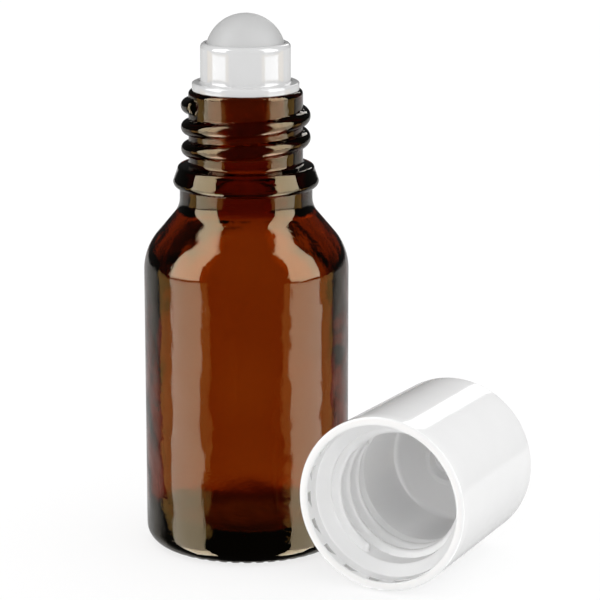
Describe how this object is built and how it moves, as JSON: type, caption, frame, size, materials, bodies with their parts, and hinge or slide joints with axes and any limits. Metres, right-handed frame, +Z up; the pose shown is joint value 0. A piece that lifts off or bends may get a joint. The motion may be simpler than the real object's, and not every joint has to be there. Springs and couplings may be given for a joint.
{
  "type": "roll on bottle",
  "caption": "Small amber glass bottle with a screw neck, a white ball housing pressed into the mouth, a free-turning grey ball, and a white screw cap lying open beside it.",
  "frame": {"origin": "centre of the bottle's standing ring, on the surface that it stands on", "axes": "+Z up along the bottle's axis; the cap lies beside the bottle on its +X side, along Y, with its mouth towards -Y"},
  "size_m": [0.053, 0.0284, 0.0749],
  "materials": {
    "amber_glass": "clear amber glass, smooth and glossy",
    "white_housing": "glossy white moulded plastic",
    "grey_ball": "matte translucent grey plastic",
    "white_cap": "glossy white moulded plastic"
  },
  "bodies": {
    "bottle": {"glass_bottle": "amber_glass", "ball_housing": "white_housing"},
    "ball": {"roller_ball": "grey_ball"},
    "cap": {"screw_cap": "white_cap"}
  },
  "joints": [
    {"name": "ball_roll", "type": "hinge", "parent": "bottle", "child": "ball", "pos_m": [0, 0, 0.06935], "axis": [1, 0, 0], "continuous": true},
    {"name": "cap_lift", "type": "slide", "parent": "bottle", "child": "cap", "axis": [0, 0, 1], "range_m": [0, 0.085]}
  ]
}
